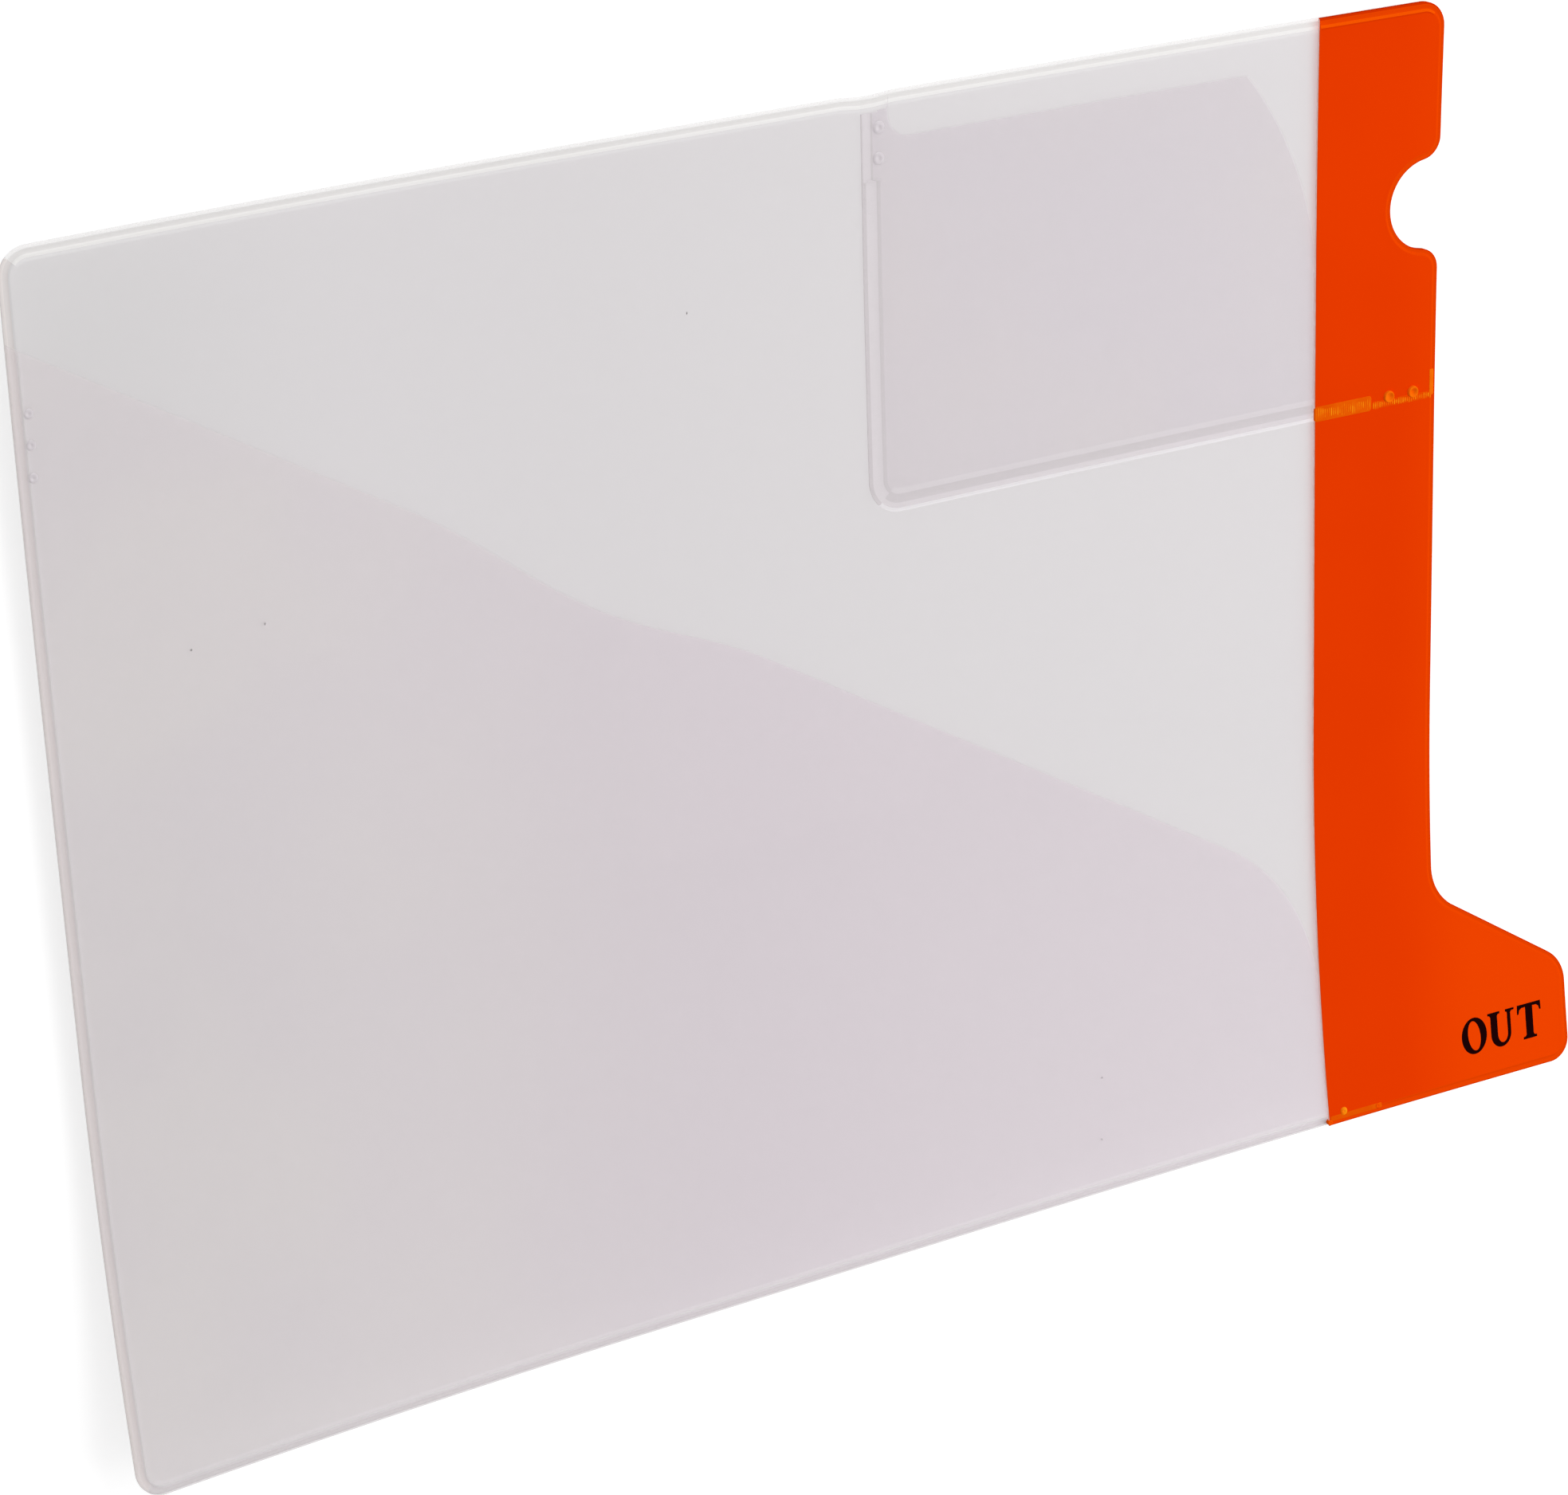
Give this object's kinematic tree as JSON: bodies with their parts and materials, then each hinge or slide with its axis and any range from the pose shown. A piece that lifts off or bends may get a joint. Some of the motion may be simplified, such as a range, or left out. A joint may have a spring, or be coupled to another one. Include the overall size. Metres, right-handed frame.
{
  "type": "end-tab pocket folder",
  "caption": "Frosted vinyl pocket folder with a diagonal-mouth pocket, a small card pocket, and an orange end strip with a tab and a thumb notch.",
  "frame": {"origin": "centre of the bounding box at its base, under the flat middle of the back sheet", "axes": "+X along the width toward the tab, +Y up the folder's height, +Z out of the front face"},
  "size_m": [0.3416, 0.2414, 0.0117],
  "materials": {
    "frosted_vinyl": "satin, frosted, translucent",
    "pocket_vinyl": "satin, slightly hazy, translucent",
    "orange_vinyl": "satin"
  },
  "bodies": {
    "root": {"back_sheet": "frosted_vinyl", "diagonal_pocket": "pocket_vinyl", "card_pocket": "pocket_vinyl", "tab_strip": "orange_vinyl"}
  },
  "joints": []
}
